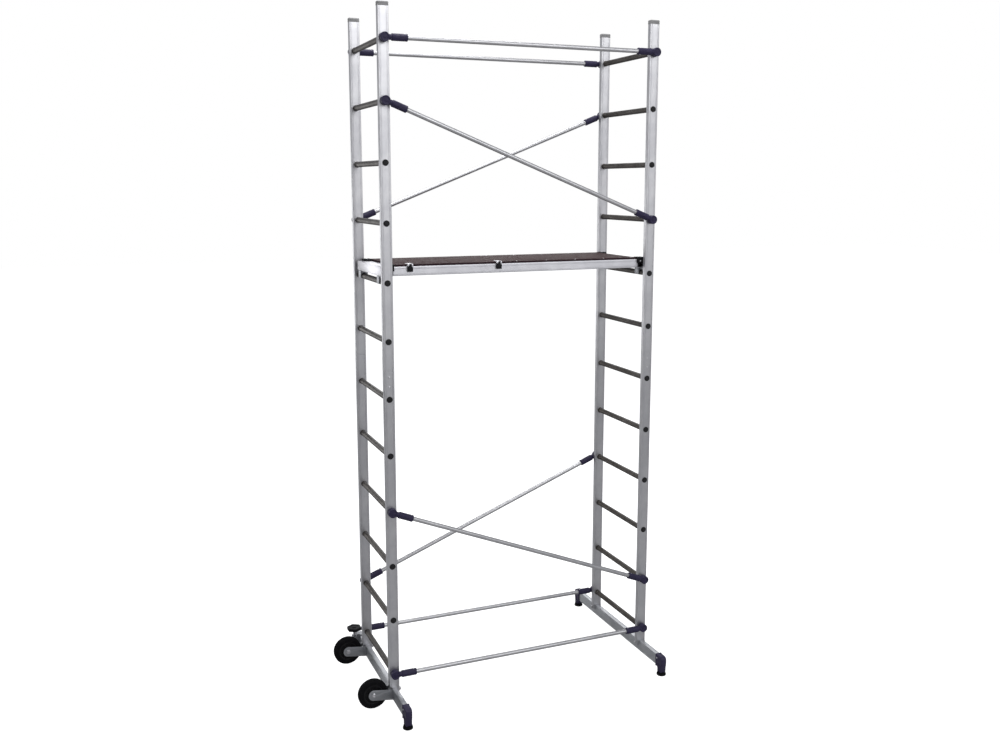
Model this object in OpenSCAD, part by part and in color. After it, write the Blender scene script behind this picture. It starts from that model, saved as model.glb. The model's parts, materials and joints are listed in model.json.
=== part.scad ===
// Rolling ladder-frame scaffold tower, two storeys, with a hook-on trapdoor platform.
// X runs along the platform, Y from the front to the rear, Z up. The origin is on the floor,
// at the middle of the overall box. "Left" is the wheeled end, "front" is -Y.

/* [Tower] */
// Distance between the two end frames, centre to centre
bay_l = 1420; // [1000:10:2200]
// Distance between the two stiles of an end frame, centre to centre
frame_w = 516; // [430:2:800]
// Height of one climbing step
rung_pitch = 280; // [250:5:340]
// Rungs in each ladder section
section_rungs = 6; // [5:1:8]
// Height of the lowest rung above the floor
lowest_rung_z = 180; // [165:5:260]

/* [Stiles and rungs] */
// Stile depth, along the platform
stile_d = 52; // [42:1:70]
// Stile thickness, along the rungs
stile_t = 25; // [20:1:40]
// Stile wall
stile_wall = 2; // [1.5:0.1:3]
// Rung outside diameter
rung_dia = 28; // [22:1:36]
// Rung wall
rung_wall = 2; // [1.5:0.1:3]
// Reach of each joining spigot into each ladder section
spigot_reach = 105; // [60:5:110]
// Height of the caps on the stile tops
cap_h = 20; // [8:1:40]

/* [Base bars and feet] */
// How far a base bar reaches past each stile's centre
bar_overhang = 222; // [190:1:420]
// Base bar height
bar_h = 58; // [50:1:80]
// Base bar thickness
bar_t = 25; // [20:1:32]
// Base bar wall
bar_wall = 2; // [1.5:0.1:3]
// Height of the bar's underside above the floor
bar_z = 44; // [36:1:70]
// How far the stiles straddle the bar
bar_lap = 27; // [20:1:40]
// Foot pad diameter
pad_dia = 50; // [40:1:80]

/* [Wheels] */
// Wheel diameter
wheel_dia = 150; // [120:1:200]
// Tyre width
tyre_w = 38; // [28:1:60]
// Clearance between a stile and the tyre
wheel_gap = 9; // [7:1:40]
// Height of the tyre above the floor
wheel_lift = 13; // [8:1:30]
// Axle diameter
axle_dia = 12; // [8:1:16]

/* [Levelling foot] */
// Distance of the spindle from the rear end of the left bar
spindle_inset = 85; // [50:1:110]
// Spindle diameter
spindle_dia = 16; // [12:1:20]
// Travel of the spindle
spindle_travel = 25; // [10:1:40]
// Levelling knob diameter
knob_dia = 84; // [60:1:100]

/* [Braces] */
// Brace tube diameter
brace_dia = 22; // [16:1:26]
// Brace tube wall
brace_wall = 1.5; // [1:0.1:3]
// Distance of a brace's axis from the stile's outer face
brace_off = 20; // [18:1:30]
// Clip boss diameter
boss_dia = 44; // [34:1:52]
// Clip barrel length
barrel_l = 75; // [50:1:110]

/* [Platform] */
// Clearance between the stiles and the side rails
platform_gap = 25.5; // [16:0.5:60]
// Side rail height
rail_h = 45; // [35:1:60]
// Side rail thickness
rail_t = 20; // [16:1:30]
// Deck board thickness
deck_t = 9; // [6:0.5:15]
// Trapdoor length along the platform
hatch_l = 612; // [400:1:700]

/* [Hidden] */
$fn = 64;
slip = 0.05;
gap = 0.3;
bolt_dia = 10;
button_h = 4;
nut_h = 8;

stile_foot_z = bar_z + bar_h - bar_lap;
seam_z = lowest_rung_z + (section_rungs - 0.5) * rung_pitch;
stile_top_z = lowest_rung_z + (2 * section_rungs - 0.5) * rung_pitch;
top_rung = 2 * section_rungs - 1;
lower_rungs_at = [for (i = [0 : section_rungs - 1]) i];
upper_rungs_at = [for (i = [section_rungs : top_rung]) i];
end_face = frame_w / 2 + stile_t / 2;

bar_l = frame_w + 2 * bar_overhang;
platform_w = frame_w - stile_t - 2 * platform_gap;
axle_z = wheel_dia / 2 + wheel_lift;
axle_off = stile_d / 2 + wheel_gap + wheel_dia / 2;
left_reach = axle_off + wheel_dia / 2;
right_reach = max(pad_dia / 2, stile_d / 2 + button_h);
shift_x = (left_reach - right_reach) / 2;
function frame_x(sx) = shift_x + sx * bay_l / 2;
function stile_y(sy) = sy * frame_w / 2;
function rung_z(i) = lowest_rung_z + i * rung_pitch;

bore_dia = rung_dia - 2 * rung_wall;

spigot_slip = 0.5;
spigot_wall = 2.5;
rivet_dia = 5;
function rivet_heights() = [seam_z - 0.75 * spigot_reach, seam_z - 0.3 * spigot_reach];

stub_l = 40;
neck_dia = boss_dia - 16;
barrel_dia = brace_dia + 12;
barrel_start = boss_dia / 2 + 11;
barrel_end = barrel_start + barrel_l;
socket_start = barrel_start + 10;

foot_wall = 4;
foot_y = bar_l / 2 + 10;
bar_top = bar_z + bar_h;
bolt_z = stile_foot_z + bar_lap / 2;

plate_t = 3;
fork_inner = tyre_w + 6;
fork_y = fork_inner / 2;
rim_dia = wheel_dia - 50;

spindle_off = bar_t / 2 + spindle_dia / 2 + 15.5;
spindle_x = frame_x(-1) - spindle_off;
spindle_y = bar_l / 2 - spindle_inset;
bracket_low = bar_z + 16;
bracket_top = bar_top + 2;
spindle_boss_r = spindle_dia / 2 + 7;
pad_h = 18;
knob_h = 18;
knob_z = bracket_top + spindle_travel + 5;

hook_rung = section_rungs + 1;
deck_z = rung_z(hook_rung);
rail_low = rung_dia / 2 + 14;
rail_top = rail_low + rail_h;
beam_out = 16;
beam_in = 45;
end_gap = 5;
hatch_x0 = frame_x(-1) + beam_in + end_gap;
hatch_x1 = hatch_x0 + hatch_l;
panel_x0 = hatch_x1 + 3;
panel_x1 = frame_x(1) - beam_in - end_gap;
hinge_dia = 12;
hinge_w = 26;
hinge_y = -platform_w / 2 - hinge_dia / 2 - 1;
hinge_z = deck_z + rail_top + 5;
hinge_in = 76;
hinges_at = [hatch_x0 + hinge_in, hatch_x1 - hinge_in];
pin_dia = 5;

// Each pair of braces on the front: the left rung and the right rung it joins; the rear is mirrored
low_rail = [0, 0];
low_cross = [3, 1];
top_cross = [top_rung - 1, top_rung - 3];
top_rail = [top_rung, top_rung];

// ---------------------------------------------------------------- helpers

// A box from its low and high corners
module span(low, high) {
    translate(low)
        cube(high - low);
}

// A cylinder along Y, from y0 to y1
module rod_y(dia, y0, y1) {
    translate([0, y0, 0])
        rotate([-90, 0, 0])
            cylinder(d = dia, h = y1 - y0);
}

// A cylinder along X, from x0 to x1
module rod_x(dia, x0, x1) {
    translate([x0, 0, 0])
        rotate([0, 90, 0])
            cylinder(d = dia, h = x1 - x0);
}

// A hexagonal nut along X, with its thread hole
module nut_x(dia, x0) {
    difference() {
        translate([x0, 0, 0])
            rotate([0, 90, 0])
                cylinder(d = 2 * dia, h = nut_h, $fn = 6);
        rod_x(dia + 2 * slip, x0 - 1, x0 + nut_h + 1);
    }
}

// ---------------------------------------------------------------- ladder frames

// One box stile from z0 to z1, bored for its rungs
module stile(sx, sy, z0, z1, rungs, on_bar) {
    color("silver")
        translate([frame_x(sx), stile_y(sy), 0])
            difference() {
                span([-stile_d / 2, -stile_t / 2, z0], [stile_d / 2, stile_t / 2, z1]);
                span([-stile_d / 2 + stile_wall, -stile_t / 2 + stile_wall, z0 - 1],
                     [stile_d / 2 - stile_wall, stile_t / 2 - stile_wall, z1 + 1]);
                for (i = rungs)
                    translate([0, 0, rung_z(i)])
                        rod_y(rung_dia + 2 * slip, -stile_t, stile_t);
                if (on_bar) {
                    span([-bar_t / 2 - gap, -stile_t, z0 - 1], [bar_t / 2 + gap, stile_t, bar_top + gap]);
                    translate([0, 0, bolt_z])
                        rod_x(bolt_dia + 2 * slip, -stile_d, stile_d);
                    for (z = rivet_heights())
                        translate([0, 0, z])
                            rod_y(rivet_dia + 2 * slip, sy > 0 ? 0 : -stile_t, sy > 0 ? stile_t : 0);
                }
            }
}

// One rung, expanded through both stiles
module rung(sx, i) {
    translate([frame_x(sx), 0, rung_z(i)])
        difference() {
            rod_y(rung_dia, -end_face, end_face);
            rod_y(bore_dia, -end_face - 1, end_face + 1);
        }
}

module rungs(list) {
    color("dimgray")
        for (sx = [-1, 1], i = list)
            rung(sx, i);
}

// True where a brace clip takes the rung's end instead of a plug
function has_clip(sx, sy, i) =
    let (k = (sx < 0) == (sy < 0) ? 0 : 1)
    i == low_rail[0] || i == top_rail[0] || i == low_cross[k] || i == top_cross[k];

// Push-in plug on the stile's outer face
module plug(sx, sy, i) {
    translate([frame_x(sx), 0, rung_z(i)])
        mirror([0, sy < 0 ? 1 : 0, 0]) {
            rod_y(rung_dia + 2, end_face, end_face + 2.5);
            rod_y(bore_dia - 2 * slip, end_face - 18, end_face + 1);
        }
}

module plugs(list) {
    color("black")
        for (sx = [-1, 1], sy = [-1, 1], i = list)
            if (!has_clip(sx, sy, i))
                plug(sx, sy, i);
}

// Spigots riveted into the lower stiles, which the upper stiles drop over
module stile_spigots() {
    d = stile_d / 2 - stile_wall - spigot_slip;
    t = stile_t / 2 - stile_wall - spigot_slip;
    color("gray")
        for (sx = [-1, 1], sy = [-1, 1])
            translate([frame_x(sx), stile_y(sy), 0])
                difference() {
                    span([-d, -t, seam_z - spigot_reach], [d, t, seam_z + spigot_reach]);
                    span([-d + spigot_wall, -t + spigot_wall, 0],
                         [d - spigot_wall, t - spigot_wall, stile_top_z]);
                    for (z = rivet_heights())
                        translate([0, 0, z])
                            rod_y(rivet_dia + 2 * slip, sy > 0 ? 0 : -stile_t, sy > 0 ? stile_t : 0);
                }
}

module stile_caps() {
    lip = 1;
    d = stile_d / 2 - stile_wall - slip;
    t = stile_t / 2 - stile_wall - slip;
    color("dimgray")
        for (sx = [-1, 1], sy = [-1, 1])
            translate([frame_x(sx), stile_y(sy), 0]) {
                span([-stile_d / 2 - lip, -stile_t / 2 - lip, stile_top_z],
                     [stile_d / 2 + lip, stile_t / 2 + lip, stile_top_z + cap_h]);
                span([-d, -t, stile_top_z - 25], [d, t, stile_top_z + 1]);
            }
}

// Bolts through the stiles and bars, spigot rivets, wheel axles and fork screws
module frame_fasteners() {
    color("lightgray") {
        for (sx = [-1, 1], sy = [-1, 1])
            translate([frame_x(sx), stile_y(sy), bolt_z])
                mirror([sx > 0 ? 1 : 0, 0, 0]) {
                    rod_x(bolt_dia, -stile_d / 2 - 1, stile_d / 2 + nut_h + 1);
                    rod_x(2 * bolt_dia - 2, -stile_d / 2 - button_h, -stile_d / 2);
                    nut_x(bolt_dia, stile_d / 2);
                }
        for (sx = [-1, 1], sy = [-1, 1], z = rivet_heights())
            translate([frame_x(sx), 0, z])
                mirror([0, sy < 0 ? 1 : 0, 0]) {
                    rod_y(rivet_dia, end_face - stile_wall - spigot_slip - spigot_wall - 1, end_face + 1);
                    rod_y(2 * rivet_dia, end_face, end_face + 1.6);
                }
        for (sy = [-1, 1])
            translate([frame_x(-1) - axle_off, stile_y(sy), axle_z])
                mirror([0, sy < 0 ? 0 : 1, 0]) {
                    rod_y(axle_dia, -fork_y - plate_t - 1, fork_y + plate_t + nut_h);
                    rod_y(1.8 * axle_dia, -fork_y - plate_t - 5, -fork_y - plate_t);
                }
        for (sy = [-1, 1], side = [-1, 1])
            translate([frame_x(-1) - bar_t / 2, stile_y(sy) + side * 12, fork_screw_z()]) {
                rod_x(6, -plate_t - 1, bar_wall + 2);
                rod_x(12, -plate_t - 4, -plate_t);
            }
    }
}

// ---------------------------------------------------------------- base

function fork_screw_z() = (bar_z + stile_foot_z) / 2;

module base_bar(sx) {
    color("silver")
        translate([frame_x(sx), 0, 0])
            difference() {
                span([-bar_t / 2, -bar_l / 2, bar_z], [bar_t / 2, bar_l / 2, bar_top]);
                span([-bar_t / 2 + bar_wall, -bar_l, bar_z + bar_wall],
                     [bar_t / 2 - bar_wall, bar_l, bar_top - bar_wall]);
                for (sy = [-1, 1])
                    translate([0, stile_y(sy), bolt_z])
                        rod_x(bolt_dia + 2 * slip, -bar_t, bar_t);
                if (sx < 0)
                    for (sy = [-1, 1], side = [-1, 1])
                        translate([0, stile_y(sy) + side * 12, fork_screw_z()])
                            rod_x(6 + 2 * slip, -bar_t, 0);
            }
}

// Moulded foot sleeved over a bar's end, with a round pad on the floor
module foot(sx, sy) {
    half = bar_t / 2 + foot_wall;
    crown_r = 24;
    color("midnightblue")
        translate([frame_x(sx), 0, 0])
            mirror([0, sy < 0 ? 1 : 0, 0]) {
                difference() {
                    translate([-half, 0, 0])
                        rotate([90, 0, 90])
                            linear_extrude(2 * half) {
                                translate([foot_y - 35, bar_z - foot_wall])
                                    square([35, bar_h + 2 * foot_wall]);
                                translate([foot_y, bar_top + foot_wall - crown_r])
                                    circle(crown_r);
                                translate([foot_y - 18, pad_h - 2])
                                    square([36, bar_h + bar_z - pad_h]);
                            }
                    span([-bar_t / 2 - slip, foot_y - 60, bar_z - slip],
                         [bar_t / 2 + slip, bar_l / 2 + slip, bar_top + slip]);
                }
                translate([0, foot_y, 0])
                    cylinder(d = pad_dia, h = pad_h);
            }
}

// Push-in cap at the rear end of the left bar
module bar_end_cap() {
    color("black")
        translate([frame_x(-1), 0, 0]) {
            span([-bar_t / 2, bar_l / 2, bar_z], [bar_t / 2, bar_l / 2 + 4, bar_top]);
            span([-bar_t / 2 + bar_wall + slip, bar_l / 2 - 20, bar_z + bar_wall + slip],
                 [bar_t / 2 - bar_wall - slip, bar_l / 2 + 1, bar_top - bar_wall - slip]);
        }
}

// ---------------------------------------------------------------- levelling foot

// Saddle clamped round the left bar, with the threaded boss on its outer side
module levelling_bracket() {
    half_l = 20;
    wall = 4;
    color("dimgray")
        difference() {
            union() {
                translate([frame_x(-1), spindle_y, 0])
                    span([-spindle_off, -half_l, bracket_low],
                         [bar_t / 2 + wall, half_l, bracket_top + wall]);
                translate([spindle_x, spindle_y, bracket_low])
                    cylinder(r = spindle_boss_r, h = bracket_top - bracket_low);
            }
            translate([frame_x(-1), spindle_y, 0])
                span([-bar_t / 2 - slip, -half_l - 1, bracket_low - 1],
                     [bar_t / 2 + slip, half_l + 1, bar_top + slip]);
            translate([frame_x(-1) - spindle_off - 1, spindle_y, 0])
                span([0, -half_l - 1, bracket_top], [spindle_boss_r, half_l + 1, bracket_top + wall + 1]);
            translate([spindle_x, spindle_y, 0])
                cylinder(d = spindle_dia + 2 * slip, h = bracket_top + 20);
        }
}

// Threaded spindle with the collar that stops it under the bracket
module levelling_spindle() {
    color("lightgray")
        translate([spindle_x, spindle_y, 0]) {
            translate([0, 0, 8])
                cylinder(d = spindle_dia, h = knob_z + knob_h - 6 - 8);
            translate([0, 0, bracket_low - gap - 6])
                cylinder(d = spindle_dia + 8, h = 6);
        }
}

module levelling_knob() {
    lobes = 6;
    color("black")
        translate([spindle_x, spindle_y, 0])
            difference() {
                union() {
                    translate([0, 0, knob_z])
                        cylinder(d = knob_dia, h = knob_h);
                    translate([0, 0, knob_z - 4])
                        cylinder(d = spindle_dia + 12, h = 5);
                }
                for (k = [1 : lobes])
                    rotate([0, 0, k * 360 / lobes])
                        translate([knob_dia / 2 + 6, 0, knob_z - 1])
                            cylinder(r = 10, h = knob_h + 2);
                cylinder(d = spindle_dia, h = knob_z + knob_h - 6);
            }
}

module levelling_pad() {
    color("black")
        translate([spindle_x, spindle_y, 0])
            difference() {
                union() {
                    cylinder(d = pad_dia, h = 12);
                    cylinder(d = spindle_dia + 12, h = pad_h);
                }
                translate([0, 0, 8 - gap])
                    cylinder(d = spindle_dia + 2 * slip, h = pad_h);
            }
}

// ---------------------------------------------------------------- wheels

// Two side plates and a back plate, screwed to the outer side of the left bar
module wheel_fork(sy) {
    reach = axle_off - bar_t / 2;
    nose_r = 27;
    color("gray")
        translate([frame_x(-1) - axle_off, stile_y(sy), axle_z]) {
            for (side = [-1, 1])
                difference() {
                    translate([0, side * (fork_y + plate_t / 2) + plate_t / 2, 0])
                        rotate([90, 0, 0])
                            linear_extrude(plate_t) {
                                circle(nose_r);
                                polygon([[0, -nose_r], [reach, bar_z + 2 - axle_z],
                                         [reach, bar_top - 2 - axle_z], [0, nose_r]]);
                            }
                    rod_y(axle_dia + 2 * slip, -fork_y - 10, fork_y + 10);
                }
            difference() {
                span([reach - plate_t, -fork_y - 1, bar_z + 2 - axle_z],
                     [reach, fork_y + 1, stile_foot_z - 1 - axle_z]);
                for (side = [-1, 1])
                    translate([0, side * 12, fork_screw_z() - axle_z])
                        rod_x(6 + 2 * slip, 0, reach + 1);
            }
        }
}

module at_wheel(sy) {
    translate([frame_x(-1) - axle_off, stile_y(sy), axle_z])
        rotate([90, 0, 0])
            children();
}

module wheel_tyre(sy) {
    shoulder = 9;
    color("black")
        at_wheel(sy)
            rotate_extrude() {
                translate([rim_dia / 2, -tyre_w / 2])
                    square([(wheel_dia - rim_dia) / 2 - shoulder, tyre_w]);
                translate([rim_dia / 2, -tyre_w / 2 + shoulder])
                    square([(wheel_dia - rim_dia) / 2, tyre_w - 2 * shoulder]);
                for (side = [-1, 1])
                    translate([wheel_dia / 2 - shoulder, side * (tyre_w / 2 - shoulder)])
                        circle(shoulder);
            }
}

module wheel_hub(sy) {
    rim_t = 6;
    color("lightgray")
        at_wheel(sy)
            difference() {
                union() {
                    difference() {
                        cylinder(d = rim_dia, h = tyre_w - 6, center = true);
                        for (side = [-1, 1])
                            translate([0, 0, side * tyre_w / 2])
                                cylinder(d = rim_dia - 2 * rim_t, h = tyre_w - 14, center = true);
                    }
                    cylinder(d = 3 * axle_dia, h = fork_inner - 2, center = true);
                }
                cylinder(d = axle_dia + 2 * slip, h = 2 * tyre_w, center = true);
            }
}

// ---------------------------------------------------------------- braces

// Places a child at one end of a brace: +X along the brace, +Y away from the tower
module at_brace_end(sy, ends, sx) {
    here = rung_z(ends[sx < 0 ? 0 : 1]);
    there = rung_z(ends[sx < 0 ? 1 : 0]);
    translate([frame_x(sx), 0, here])
        mirror([0, sy < 0 ? 1 : 0, 0])
            translate([0, end_face, 0])
                rotate([0, -atan2(there - here, -sx * bay_l), 0])
                    children();
}

// Moulded clip: a stub in the rung's end, a boss on the stile and a barrel round the tube
module brace_clip() {
    difference() {
        union() {
            rod_y(bore_dia - 2 * slip, -stub_l, gap + 1);
            rod_y(boss_dia, gap, brace_off + 12);
            translate([0, brace_off, 0])
                rod_x(neck_dia, 0, barrel_start + 2);
            translate([0, brace_off, 0])
                rod_x(barrel_dia, barrel_start, barrel_end);
        }
        translate([0, brace_off, 0])
            rod_x(brace_dia + 2 * slip, socket_start, barrel_end + 1);
    }
}

module brace_clips(sy, ends) {
    color("darkslateblue")
        for (sx = [-1, 1])
            at_brace_end(sy, ends, sx)
                brace_clip();
}

function brace_len(ends) = norm([bay_l, rung_z(ends[1]) - rung_z(ends[0])]);

module brace_tube(sy, ends) {
    color("silver")
        at_brace_end(sy, ends, -1)
            translate([0, brace_off, 0])
                difference() {
                    rod_x(brace_dia, socket_start + gap, brace_len(ends) - socket_start - gap);
                    rod_x(brace_dia - 2 * brace_wall, 0, brace_len(ends));
                }
}

function crossed(sy, ends) = sy < 0 ? ends : [ends[1], ends[0]];

// ---------------------------------------------------------------- platform

module platform_rail(sy) {
    y = sy * (platform_w / 2 - rail_t / 2);
    color("silver")
        translate([0, y, deck_z])
            difference() {
                span([frame_x(-1) + beam_in, -rail_t / 2, rail_low],
                     [frame_x(1) - beam_in, rail_t / 2, rail_top]);
                span([frame_x(-1), -rail_t / 2 + 2, rail_low + 2],
                     [frame_x(1), rail_t / 2 - 2, rail_top - 2]);
            }
}

// Box beam over an end frame's rung
module end_beam(sx) {
    color("silver")
        translate([frame_x(sx), 0, deck_z])
            mirror([sx > 0 ? 1 : 0, 0, 0])
                difference() {
                    span([-beam_out, -platform_w / 2, rail_low], [beam_in, platform_w / 2, rail_top]);
                    span([-beam_out + 2.5, -platform_w, rail_low + 2.5],
                         [beam_in - 2.5, platform_w, rail_top - 2.5]);
                }
}

// Cross beam under the joint between the trapdoor and the fixed board
module middle_beam() {
    half = 18;
    color("silver")
        translate([(hatch_x1 + panel_x0) / 2, 0, deck_z])
            difference() {
                span([-half, -platform_w / 2 + rail_t, rail_top - 30],
                     [half, platform_w / 2 - rail_t, rail_top]);
                span([-half + 2, -platform_w, rail_top - 28], [half - 2, platform_w, rail_top - 2]);
            }
}

// Saddles under the end beams that drop over the rungs
module platform_hooks() {
    hook_w = 40;
    hook_y = platform_w / 2 - 50;
    cheek = 5;
    drop = 10;
    saddle = rung_dia / 2 + gap;
    color("gray")
        for (sx = [-1, 1], sy = [-1, 1])
            translate([frame_x(sx), sy * hook_y, deck_z])
                difference() {
                    span([-saddle - cheek, -hook_w / 2, -drop], [saddle + cheek, hook_w / 2, rail_low]);
                    rod_y(2 * saddle, -hook_w, hook_w);
                    span([-saddle, -hook_w, -drop - 1], [saddle, hook_w, 0]);
                }
}

// Moulded corners over the beam and rail ends
module deck_corners() {
    lip = 5;
    color("black")
        for (sx = [-1, 1])
            translate([frame_x(sx), 0, deck_z])
                mirror([sx > 0 ? 1 : 0, 0, 0])
                    for (sy = [-1, 1])
                        mirror([0, sy < 0 ? 1 : 0, 0]) {
                            span([8, platform_w / 2 - 36, rail_top],
                                 [beam_in + end_gap - 2, platform_w / 2 + lip, rail_top + deck_t + 2]);
                            span([8, platform_w / 2, rail_top - 22],
                                 [beam_in + end_gap - 2, platform_w / 2 + lip, rail_top + 1]);
                        }
}

module deck_panel() {
    color("saddlebrown")
        translate([0, 0, deck_z])
            span([panel_x0, -platform_w / 2 + 1, rail_top],
                 [panel_x1, platform_w / 2 - 1, rail_top + deck_t]);
}

module hatch_panel() {
    color("sienna")
        translate([0, 0, deck_z])
            span([hatch_x0, -platform_w / 2 + 1, rail_top + gap],
                 [hatch_x1, platform_w / 2 - 1, rail_top + gap + deck_t]);
}

// Leaves on the trapdoor, each with two knuckles round its pin
module hinge_leaves() {
    leaf_t = 3;
    leaf_l = 46;
    top = rail_top + gap + deck_t;
    color("silver")
        for (x = hinges_at)
            translate([x, 0, 0])
                difference() {
                    union() {
                        translate([0, 0, deck_z])
                            span([-hinge_w / 2, hinge_y, top], [hinge_w / 2, hinge_y + leaf_l, top + leaf_t]);
                        translate([0, hinge_y, hinge_z]) {
                            rod_x(hinge_dia, -hinge_w / 2, hinge_w / 2);
                            span([-hinge_w / 2, -hinge_dia / 2, 0],
                                 [hinge_w / 2, 0, deck_z + top + leaf_t - hinge_z]);
                        }
                    }
                    translate([0, hinge_y, hinge_z]) {
                        rod_x(pin_dia + 2 * slip, -hinge_w, hinge_w);
                        span([-hinge_w / 4 - gap, -hinge_dia, -hinge_dia],
                             [hinge_w / 4 + gap, hinge_dia / 2 + 1.5, 2 * hinge_dia]);
                    }
                }
}

// Blocks on the front rail, each with the middle knuckle
module hinge_blocks() {
    low = rail_top - 26;
    color("darkslategray")
        for (x = hinges_at)
            translate([x, 0, 0])
                difference() {
                    union() {
                        translate([0, 0, deck_z])
                            span([-hinge_w / 2, hinge_y - hinge_dia / 2, low],
                                 [hinge_w / 2, -platform_w / 2, rail_top - 2.5]);
                        translate([0, hinge_y, hinge_z]) {
                            rod_x(hinge_dia, -hinge_w / 4, hinge_w / 4);
                            span([-hinge_w / 4, -hinge_dia / 2, deck_z + low - hinge_z],
                                 [hinge_w / 4, hinge_dia / 2, 0]);
                        }
                    }
                    translate([0, hinge_y, hinge_z])
                        rod_x(pin_dia + 2 * slip, -hinge_w, hinge_w);
                }
}

module hinge_pins() {
    color("lightgray")
        for (x = hinges_at)
            translate([x, hinge_y, hinge_z])
                rod_x(pin_dia, -hinge_w / 2 - 2, hinge_w / 2 + 2);
}

stile(-1, -1, stile_foot_z, seam_z - gap, lower_rungs_at, true);  // lower_left_front_stile
stile(-1, 1, stile_foot_z, seam_z - gap, lower_rungs_at, true);  // lower_left_rear_stile
stile(1, -1, stile_foot_z, seam_z - gap, lower_rungs_at, true);  // lower_right_front_stile
stile(1, 1, stile_foot_z, seam_z - gap, lower_rungs_at, true);  // lower_right_rear_stile
stile(-1, -1, seam_z, stile_top_z, upper_rungs_at, false);  // upper_left_front_stile
stile(-1, 1, seam_z, stile_top_z, upper_rungs_at, false);  // upper_left_rear_stile
stile(1, -1, seam_z, stile_top_z, upper_rungs_at, false);  // upper_right_front_stile
stile(1, 1, seam_z, stile_top_z, upper_rungs_at, false);  // upper_right_rear_stile
rungs(lower_rungs_at);  // lower_rungs
rungs(upper_rungs_at);  // upper_rungs
plugs(lower_rungs_at);  // lower_rung_plugs
plugs(upper_rungs_at);  // upper_rung_plugs
stile_spigots();
stile_caps();
frame_fasteners();
base_bar(-1);  // left_base_bar
base_bar(1);  // right_base_bar
foot(-1, -1);  // front_left_foot
foot(1, -1);  // front_right_foot
foot(1, 1);  // rear_right_foot
bar_end_cap();
levelling_bracket();
levelling_spindle();
levelling_knob();
levelling_pad();
wheel_fork(-1);  // front_wheel_fork
wheel_fork(1);  // rear_wheel_fork
wheel_tyre(-1);  // front_wheel_tyre
wheel_tyre(1);  // rear_wheel_tyre
wheel_hub(-1);  // front_wheel_hub
wheel_hub(1);  // rear_wheel_hub
brace_tube(-1, low_rail);  // front_low_rail_tube
brace_clips(-1, low_rail);  // front_low_rail_clips
brace_tube(1, low_rail);  // rear_low_rail_tube
brace_clips(1, low_rail);  // rear_low_rail_clips
brace_tube(-1, crossed(-1, low_cross));  // front_low_cross_tube
brace_clips(-1, crossed(-1, low_cross));  // front_low_cross_clips
brace_tube(1, crossed(1, low_cross));  // rear_low_cross_tube
brace_clips(1, crossed(1, low_cross));  // rear_low_cross_clips
brace_tube(-1, crossed(-1, top_cross));  // front_top_cross_tube
brace_clips(-1, crossed(-1, top_cross));  // front_top_cross_clips
brace_tube(1, crossed(1, top_cross));  // rear_top_cross_tube
brace_clips(1, crossed(1, top_cross));  // rear_top_cross_clips
brace_tube(-1, top_rail);  // front_top_rail_tube
brace_clips(-1, top_rail);  // front_top_rail_clips
brace_tube(1, top_rail);  // rear_top_rail_tube
brace_clips(1, top_rail);  // rear_top_rail_clips
platform_rail(-1);  // front_platform_rail
platform_rail(1);  // rear_platform_rail
end_beam(-1);  // left_end_beam
end_beam(1);  // right_end_beam
middle_beam();
platform_hooks();
deck_corners();
deck_panel();
hatch_panel();
hinge_leaves();
hinge_blocks();
hinge_pins();
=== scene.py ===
"""Looks of the rolling ladder-frame scaffold tower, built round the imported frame.

Shapes are drawn in millimetres in a frame of their own, with the length of a bar, tube or
board along Z, and then placed in the shared frame. "Left" is the wheeled end, "front" is -Y.
"""

import json
from math import atan2, cos, hypot, pi, radians, sin, tan, tau

import bmesh
import bpy
from mathutils import Matrix, Vector


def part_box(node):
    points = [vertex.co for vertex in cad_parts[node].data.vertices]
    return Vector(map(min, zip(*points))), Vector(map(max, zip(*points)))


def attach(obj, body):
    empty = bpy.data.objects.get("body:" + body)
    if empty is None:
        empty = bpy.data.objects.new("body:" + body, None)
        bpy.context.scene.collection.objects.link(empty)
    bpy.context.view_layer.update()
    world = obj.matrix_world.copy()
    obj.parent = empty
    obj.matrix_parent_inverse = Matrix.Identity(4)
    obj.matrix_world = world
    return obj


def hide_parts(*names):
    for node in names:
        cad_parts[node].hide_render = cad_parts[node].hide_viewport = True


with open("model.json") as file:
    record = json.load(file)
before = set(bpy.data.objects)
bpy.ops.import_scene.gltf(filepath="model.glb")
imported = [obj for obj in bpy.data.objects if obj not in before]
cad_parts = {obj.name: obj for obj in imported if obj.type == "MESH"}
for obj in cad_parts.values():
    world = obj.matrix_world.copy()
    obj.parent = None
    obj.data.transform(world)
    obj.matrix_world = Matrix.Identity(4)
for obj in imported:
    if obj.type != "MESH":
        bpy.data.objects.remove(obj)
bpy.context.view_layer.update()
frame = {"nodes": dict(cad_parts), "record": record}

MM = 0.001
SAME_POINT = 0.01
FLAT_ANGLE, SHARP_ANGLE = radians(1), radians(35)
GRAIN_STEP = 377.0
ENDS = {"left": -1, "right": 1}
SIDES = {"front": -1, "rear": 1}
BODY = {n: body for body, nodes in frame["record"]["behaviour"]["bodies"].items() for n in nodes}


# ---------------------------------------------------------------- outlines


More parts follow.
